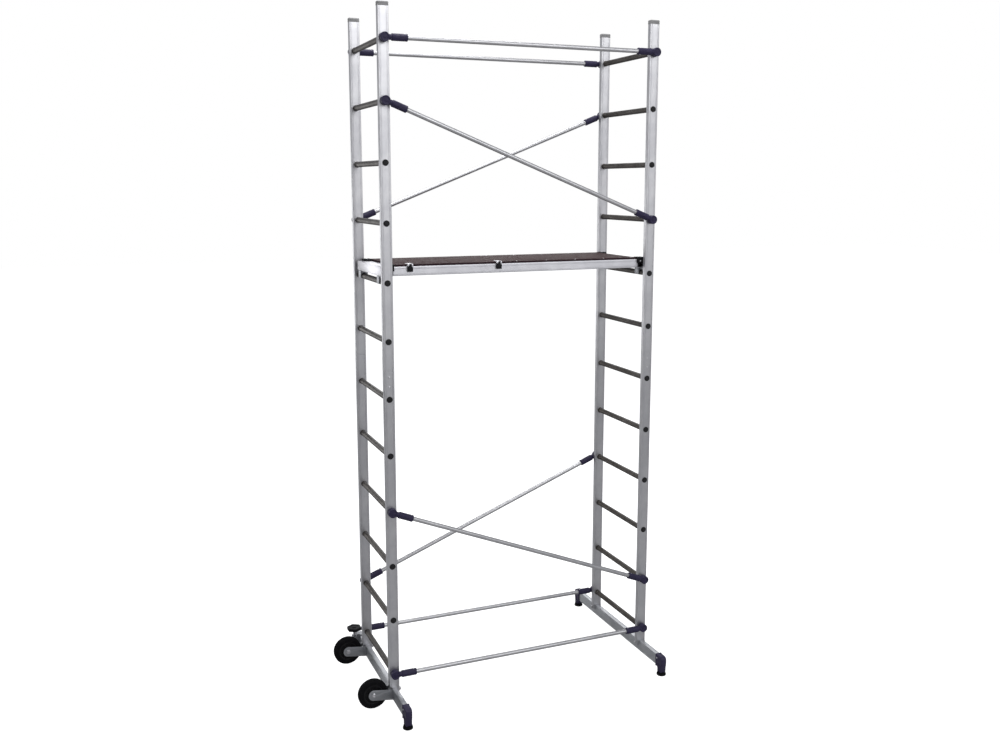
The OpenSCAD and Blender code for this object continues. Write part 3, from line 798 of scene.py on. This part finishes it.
def foot_body():
    """The moulded elbow over a bar's end, drawn in side view and rounded over. Y is outwards."""
    bar_low, bar_high = box_mm("right_base_bar")
    wall, proud = 4, 1.4
    z0, z1, y = bar_low.z - wall, bar_high.z + wall, bar_high.y + PAD_OUT
    half = (bar_high.x - bar_low.x) / 2 + wall
    side_view = turned_by(90, "Z") @ turned_by(90, "X")
    line = rounded([(y - 35, z0), (y - 18, z0), (y - 18, 16), (y + 18, 16), (y + 20, 46),
                    (y + 24, 66), (y + 24, z1), (y - 35, z1)], [5, 8, 5, 5, 30, 20, 26, 5], 6)
    shape = moved(plate(drawn(line), -half, half, 4.5, 5), side_view)
    collar = rounded([(y - 35, z0 - proud), (y - 29, z0 - proud), (y - 29, z1 + proud),
                      (y - 35, z1 + proud)], 2.4, 3)
    band = moved(plate(drawn(collar), -half - proud, half + proud, 1.8, 3), side_view)
    rib = block(2 * half + 2.0, 2.4, 34, 1.1, 0.7)
    return joined(shape, band, *[moved(rib, at(0, y + d, 44)) for d in (-9, -3, 3, 9)])


def foot_pad():
    """The round rubber pad, ridged underneath and waisted where it meets the moulding."""
    ridges = [(0, 1.2), (6, 1.2), (6.8, 0), (11, 0), (11.8, 1.2), (14, 1.2), (14.8, 0), (19, 0),
              (19.8, 1.2), (21.5, 1.2), (22.2, 0), (24, 0)]
    side = [(25, 1.4), (25, 7.6), (24.2, 9), (22.4, 10), (22.0, 12), (22.6, 13.5), (22.0, 16.5),
            (20, 18), (0, 18)]
    return turned(ridges + side, 48)


def make_feet():
    """Three fixed feet, each with its pad and the two screws that hold it to the bar."""
    shape, pad, head = foot_body(), foot_pad(), button_head(4.5, 2.2)
    out = box_mm("right_base_bar")[1].y + PAD_OUT
    for side, end in (("front", "left"), ("front", "right"), ("rear", "right")):
        node = f"{side}_{end}_foot"
        where = at(FRAME_X[end], 0, 0) @ mirrored(y=SIDES[side])
        show(node + "_moulding", [(shape, where)], FINISH["foot"], [node])
        show(node + "_pad", [(pad, where @ at(0, out, 0))], FINISH["pad"],
             body=BODY[node])
        heads = [(head, where @ at(s * 16.3, out - 22, 88) @ turned_by(s * 90, "Y"))
                 for s in (-1, 1)]
        show(node + "_screws", heads, FINISH["steel"], body=BODY[node])


def make_end_cap():
    """The push-in cap at the levelling end of the left bar."""
    low, high = box_mm("bar_end_cap")
    bar_low, bar_high = box_mm("left_base_bar")
    line = rectangle(bar_high.x - bar_low.x, bar_high.z - bar_low.z, 2.4)
    sides = [(2.2, -19), (2.1, 0), (0, 0), (0, 2.2), (0.6, 3.4), (1.6, 4.0), (4.0, 4.0),
             (4.6, 3.2)]
    rings = [raised(line(by), z) for by, z in sides]
    where = at((low.x + high.x) / 2, bar_high.y, (bar_low.z + bar_high.z) / 2) @ ALONG_Y
    show("bar_end_cap_moulding", [(skin(rings), where)], FINISH["black"],
         ["bar_end_cap"])


def stile_fasteners():
    """Through each lower stile a bolt with its nut, and two blind rivets that hold the spigot."""
    low, high = box_mm("lower_left_front_stile")
    seam = box_mm("upper_left_front_stile")[0].z
    reach = seam - box_mm("stile_spigots")[0].z
    half, bolt_z = (high.x - low.x) / 2, (low.z + BAR_TOP) / 2
    head, hexagon, tip = button_head(9, 4), nut(17, 8, 5), threaded(5, 0, 9, 1.5, 0.6)
    shank = turned([(0, 0), (5, 0), (5, 2 * half), (0, 2 * half)], 24)
    rivet = rivet_head(5, 1.6)
    placed = []
    for end, sx in ENDS.items():
        for side, sy in SIDES.items():
            where = at(FRAME_X[end], STILE_Y[side], bolt_z) @ mirrored(x=-sx)
            near, far = where @ at(-half, 0, 0), where @ at(half, 0, 0)
            placed += [(head, near @ turned_by(-90, "Y")), (shank, near @ ALONG_X),
                       (hexagon, far @ ALONG_X), (tip, far @ ALONG_X)]
            placed += [(rivet, at(FRAME_X[end], 0, seam - share * reach) @ mirrored(y=sy)
                        @ at(0, END_FACE, 0) @ ALONG_Y) for share in (0.75, 0.3)]
    return placed


def wheel_bolts():
    """Each wheel's axle bolt, washer and nut, and the two screws of its fork."""
    axle = turned([(0, 0), (6, 0), (6, 50), (0, 50)], 28)
    head, tip, hexagon = button_head(10.8, 5, 5), threaded(6, 0, 7, 1.75, 0.6), nut(18, 6, 6)
    washer = turned([(6.2, 0), (12, 0), (12, 1.4), (6.2, 1.4)], 36, loop=True)
    screw = button_head(6, 3)
    screw_z = (box_mm("left_base_bar")[0].z + box_mm("lower_left_front_stile")[0].z) / 2
    placed = []
    for side, sy in SIDES.items():
        hub = middle_mm(f"{side}_wheel_hub")
        low, high = box_mm(f"{side}_wheel_fork")
        out = (high.y - low.y) / 2
        where = at(*hub) @ mirrored(y=-sy)
        placed += [(head, where @ at(0, -out, 0) @ turned_by(90, "X")),
                   (axle, where @ at(0, -25, 0) @ ALONG_Y),
                   (washer, where @ at(0, out, 0) @ ALONG_Y),
                   (hexagon, where @ at(0, out + 1.4, 0) @ ALONG_Y),
                   (tip, where @ at(0, out, 0) @ ALONG_Y)]
        placed += [(screw, at(high.x - 3, hub.y + off, screw_z) @ turned_by(-90, "Y"))
                   for off in (-12, 12)]
    return placed


def make_fasteners():
    """Every bolt, nut and rivet that stays with the lower storey."""
    show("frame_bolts_and_rivets", stile_fasteners() + wheel_bolts(), FINISH["steel"],
         ["frame_fasteners"])


make_bars()
make_feet()
make_end_cap()
make_fasteners()


# ---------------------------------------------------------------- wheels


def tyre(radius, half, rim):
    """A solid tyre with a ringed wall and three grooves round its tread."""
    wall = [(rim, half - 2), (rim + 3, half), (rim + 9, half), (rim + 9.8, half - 0.9),
            (rim + 11.4, half - 0.9), (rim + 12.2, half), (radius - 9, half - 0.4),
            (radius - 3.4, half - 4), (radius - 0.8, half - 8.5)]
    tread = []
    for g in (9.0, 0.0, -9.0):
        tread += [(radius, g + 1.8), (radius - 2.6, g + 1.1), (radius - 2.6, g - 1.1),
                  (radius, g - 1.8)]
    profile = wall + tread + [(r, -h) for r, h in wall[::-1]]
    return turned(rounded(profile, 0.7, 2), 72, loop=True)


def hub(rim):
    """A moulded hub: a web with six ribs and a blind pocket between each two, on both faces."""
    web = [(6.2, 21), (17, 21), (18, 20), (18, 8), (20, 5), (40, 5), (44, 8), (44, 15.2), (45, 16),
           (rim, 16)]
    disc = turned(rounded(web + [(r, -h) for r, h in web[::-1]], 0.8, 2), 72, loop=True)
    rib, middle = block(27, 4, 24, 1.5, 0.9), at(31, 0, 0)
    disc = joined(disc, *[moved(rib, turned_by(60 * k, "Z") @ middle) for k in range(6)])
    pockets = [moved(turned([(0, low), (6.5, low), (6.5, low + 8), (0, low + 8)], 24),
                     turned_by(60 * k + 30, "Z") @ middle)
               for k in range(6) for low in (2.0, -10.0)]
    return cut(disc, *pockets)


def make_wheels():
    low, high = box_mm("front_wheel_tyre")
    radius, half = (high.z - low.z) / 2, (high.y - low.y) / 2
    rim = radius - 25
    tyre_shape, hub_shape = tyre(radius, half, rim), hub(rim)
    for side in SIDES:
        where = at(*middle_mm(f"{side}_wheel_hub")) @ ALONG_Y
        show(f"{side}_treaded_tyre", [(tyre_shape, where)], FINISH["tyre"],
             [f"{side}_wheel_tyre"])
        show(f"{side}_spoked_hub", [(hub_shape, where)], FINISH["hub"],
             [f"{side}_wheel_hub"])


def make_from_cad():
    """Pressed, sawn and moulded parts whose CAD shape is right once its edges are broken."""
    for node, width, finish, slot in (
        ("front_wheel_fork", 0.9, "bracket", "bracket_metal"),
        ("rear_wheel_fork", 0.9, "bracket", "bracket_metal"),
        ("levelling_bracket", 1.2, "bracket", "bracket_metal"),
        ("platform_hooks", 1.6, "bracket", "bracket_metal"),
        ("deck_corners", 1.6, "black", "black_plastic"),
        ("hinge_leaves", 0.7, "hinge", "hinge_steel"),
        ("hinge_blocks", 1.4, "black", "hinge_plastic"),
        ("hinge_pins", 0.6, "steel", "hinge_steel"),
        ("left_end_beam", 0.7, "rail", "rail_aluminium"),
        ("right_end_beam", 0.7, "rail", "rail_aluminium"),
        ("middle_beam", 0.7, "rail", "rail_aluminium"),
        ("stile_spigots", 0.8, "spigot", "spigot_aluminium"),
    ):
        show(node + "_shape", [(softened(node, width), at())], FINISH[finish], [node])


make_wheels()
make_from_cad()


# ---------------------------------------------------------------- levelling foot


def levelling_screw():
    """The threaded spindle with a plain tip, and its stop collar standing below z = 0."""
    low, high = box_mm("levelling_spindle")
    radius = 8.0
    screw = threaded(radius, low.z + 6, high.z, 4.0, 1.2)
    collar = turned(rounded([(radius - 1.5, -6), (12, -6), (12, 0), (radius - 1.5, 0)], 1.0, 3),
                    40, loop=True)
    tip = turned(rounded([(0, low.z), (6.4, low.z), (7, low.z + 2), (7, low.z + 8), (0, low.z + 8)],
                         [0, 1, 1, 0.5, 0], 3, closed=False), 32)
    return screw, tip, collar


def levelling_knob():
    """A six-lobed grip with a dished top, a boss in the dish and a neck underneath."""
    low, high = box_mm("levelling_knob")
    big = (high.x - low.x) / 2
    line = []
    for k in range(144):
        a = tau * k / 144
        r = big - 2.2 + 2.2 * cos(6 * a + pi) - 1.4 * (0.5 - 0.5 * cos(12 * a))
        line.append((r * cos(a), r * sin(a)))
    grip = plate(drawn(line), low.z + 4, high.z, 5.0, 5)
    dish = turned([(0, high.z - 3), (22, high.z - 3), (27, high.z + 1), (0, high.z + 1)], 48)
    boss = turned(rounded([(0, high.z - 4), (11, high.z - 4), (11, high.z - 0.8), (8, high.z),
                           (0, high.z)], [0, 0.5, 1.5, 1, 0], 3, closed=False), 40)
    neck = turned(rounded([(0, low.z), (14, low.z), (14, low.z + 6), (0, low.z + 6)],
                          [0, 1.2, 0.5, 0], 3, closed=False), 40)
    return joined(cut(grip, dish), boss, neck)


def levelling_pad():
    """The swivelling pad, with a socket for the spindle's tip."""
    profile = rounded([(0, 0), (23, 0), (25, 2.5), (25, 8), (23, 11.5), (16, 12.5), (14.5, 14),
                       (14, 18), (9, 18), (8.3, 17), (8.3, 8), (0, 7.7)],
                      [0, 1, 1.5, 1.5, 2, 2, 1, 1, 0.6, 0.4, 0.3, 0], 3, closed=False)
    return turned(profile, 48)


def make_levelling():
    centre = middle_mm("levelling_knob")
    place = at(centre.x, centre.y, 0)
    under_bracket = place @ at(0, 0, box_mm("levelling_bracket")[0].z - 0.3)
    screw, tip, collar = levelling_screw()
    show("levelling_spindle_thread", [(screw, place), (tip, place), (collar, under_bracket)],
         FINISH["steel"], ["levelling_spindle"])
    show("levelling_knob_grip", [(levelling_knob(), place)], FINISH["black"],
         ["levelling_knob"])
    show("levelling_pad_moulding", [(levelling_pad(), place)], FINISH["black"],
         ["levelling_pad"])


make_levelling()


# ---------------------------------------------------------------- platform


RAIL_WALL = 2.0


def make_platform_rails():
    """The platform's side rails: grooved box extrusions along X."""
    grooves = (-14.0, -10.5, 14.0)
    for side in SIDES:
        node = f"{side}_platform_rail"
        low, high = box_mm(node)
        tall, thick = high.z - low.z, high.y - low.y

        def outer(by):
            return box_section(tall - 2 * by, thick - 2 * by, 2.0, grooves, (), cut=0.8)

        def inner(by):
            return box_section(tall - 2 * RAIL_WALL, thick - 2 * RAIL_WALL, 0.6, grooves, ())

        shape = tube(outer, inner, 0, high.x - low.x)
        where = at(low.x, (low.y + high.y) / 2, (low.z + high.z) / 2) @ ALONG_X
        show(node + "_extrusion", [(shape, where)], FINISH["rail"], [node])


def make_boards():
    """The fixed board and the trapdoor, with low screws along the fixed one."""
    for node, body_name in (("deck_panel", "deck_board"), ("hatch_panel", "hatch_board")):
        low, high = box_mm(node)
        size = high - low
        shape = plate(rectangle(size.x, size.y, 7.0), 0, size.z, DECK_RIM, 3)
        finish = deck_board(body_name + "_ply", size.z)
        show(body_name, [(shape, at((low.x + high.x) / 2, (low.y + high.y) / 2, low.z))],
             finish, [node])
    low, high = box_mm("deck_panel")
    head = button_head(4.2, 1.0)
    from_end, from_edge, gaps = 25, 11, 4
    pitch = (high.x - low.x - 2 * from_end) / gaps
    placed = [(head, at(low.x + from_end + k * pitch, y, high.z - 0.1))
              for k in range(gaps + 1) for y in (low.y + from_edge, high.y - from_edge)]
    show("deck_screws", placed, FINISH["steel"], body=BODY["deck_panel"])


def make_platform_hardware():
    """Rivets that hold the moulded corners and the hinge leaves."""
    low, high = box_mm("deck_corners")
    head = rivet_head(4.5, 1.6)
    leaf_low, leaf_high = box_mm("hinge_leaves")
    placed = []
    for end, sx in ENDS.items():
        for sy in SIDES.values():
            x = FRAME_X[end] - sx * 28
            side_face = mirrored(y=sy) @ at(0, high.y, low.z + 12) @ ALONG_Y
            placed.append((head, at(x, 0, 0) @ side_face))
            placed.append((head, at(x, sy * (high.y - 22), high.z)))
    show("corner_rivets", placed, FINISH["steel"], body=BODY["deck_corners"])
    hinges = [leaf_low.x + 13, leaf_high.x - 13]
    screws = [(rivet_head(3.4, 1.2), at(x + dx, leaf_high.y - dy, leaf_high.z))
              for x in hinges for dx in (-7, 7) for dy in (8, 22)]
    show("leaf_rivets", screws, FINISH["steel"], body=BODY["hinge_leaves"])


make_platform_rails()
make_boards()
make_platform_hardware()


# ---------------------------------------------------------------- floor, light and camera

FLOOR_SIZE, FLOOR_TONE, FLOOR_GLOW = 60.0, 0.50, 0.90
STUDIO_DIM, BACKDROP = (0.42, 0.425, 0.445, 1), (1, 1, 1, 1)
# Each light's place and aim in metres, its width and height, and how bright it looks
LIGHTS = {
    "high_front": ((1.4, -5.2, 5.2), (0.1, 0, 3.4), (5.4, 2.8), 2.9),
    "low_front": ((1.6, -5.2, 2.3), (0.1, 0, 1.9), (5.4, 2.2), 0.95),
    "high_rear": ((2.2, 5.6, 3.8), (0.1, 0, 1.6), (4.6, 2.6), 1.8),
    "low_rear": ((-3.4, 5.6, 1.7), (0.1, 0, 1.0), (3.4, 2.0), 2.0),
    "overhead": ((-0.2, 0.2, 6.2), (0.1, 0, 2.2), (3.0, 2.0), 8.5),
    "left_side": ((-4.6, 2.2, 3.4), (0, 0, 1.4), (2.5, 2.6), 1.2),
}
CAMERA_YAW, CAMERA_PITCH = 22.496, 9.041
CAMERA_PLACE = (-1.958, -4.855, 2.601)
CAMERA_LENS, CAMERA_SHIFT = 36.36, -0.03


def make_floor():
    """A pale matt floor. It glows for camera rays only, so that it meets the backdrop unseen."""
    f = Finish("pale_floor", {"Roughness": 0.9, "Specular IOR Level": 0.0,
                              "Emission Strength": 1.0})
    patch = f.noise(f.node("TexCoord", output=3), 1.4, 3.0)
    seen = f.node("LightPath")
    f.feed(f.shader, {"Base Color": f.mixed(patch, grey(FLOOR_TONE), grey(FLOOR_TONE - 0.03)),
                      "Emission Color": f.mixed(seen, grey(0.0), grey(FLOOR_GLOW))})
    half = FLOOR_SIZE / 2
    corners = [(-half, -half, 0), (half, -half, 0), (half, half, 0), (-half, half, 0)]
    mesh = mesh_of(corners, [(0, 1, 2, 3)])
    mesh.materials.append(f.material)
    floor = bpy.data.objects.new("floor", mesh)
    bpy.context.scene.collection.objects.link(floor)


def soft_light(name, place, aim, size, bright):
    """A flat soft light of a given brightness seen from in front, whatever its size in metres."""
    lamp = bpy.data.lights.new(name, "AREA")
    lamp.shape, lamp.size, lamp.size_y = "RECTANGLE", size[0], size[1]
    lamp.energy = bright * pi * size[0] * size[1]
    made = bpy.data.objects.new(name, lamp)
    made.location = place
    made.rotation_mode = "QUATERNION"
    made.rotation_quaternion = (Vector(aim) - Vector(place)).to_track_quat("-Z", "Y")
    made.visible_camera = False
    bpy.context.scene.collection.objects.link(made)


def make_light():
    """A dim studio with big soft lights high up, so that metal runs from pale tops to grey feet."""
    world = bpy.data.worlds.new("studio")
    world.use_nodes = True
    studio = Nodes(world.node_tree)
    studio.feed(studio.tree.nodes["Background"],
                {"Color": studio.mixed(studio.node("LightPath"), STUDIO_DIM, BACKDROP)})
    bpy.context.scene.world = world
    for name, facts in LIGHTS.items():
        soft_light(name, *facts)


def make_camera():
    data = bpy.data.cameras.new("camera")
    data.sensor_width, data.lens, data.shift_y = 36.0, CAMERA_LENS, CAMERA_SHIFT
    data.clip_start, data.clip_end = 0.05, 200
    camera = bpy.data.objects.new("camera", data)
    camera.location = CAMERA_PLACE
    camera.rotation_euler = radians(90 - CAMERA_PITCH), 0, radians(-CAMERA_YAW)
    bpy.context.scene.collection.objects.link(camera)
    bpy.context.scene.camera = camera


make_floor()
make_light()
make_camera()
bpy.context.scene.view_settings.view_transform = "Standard"
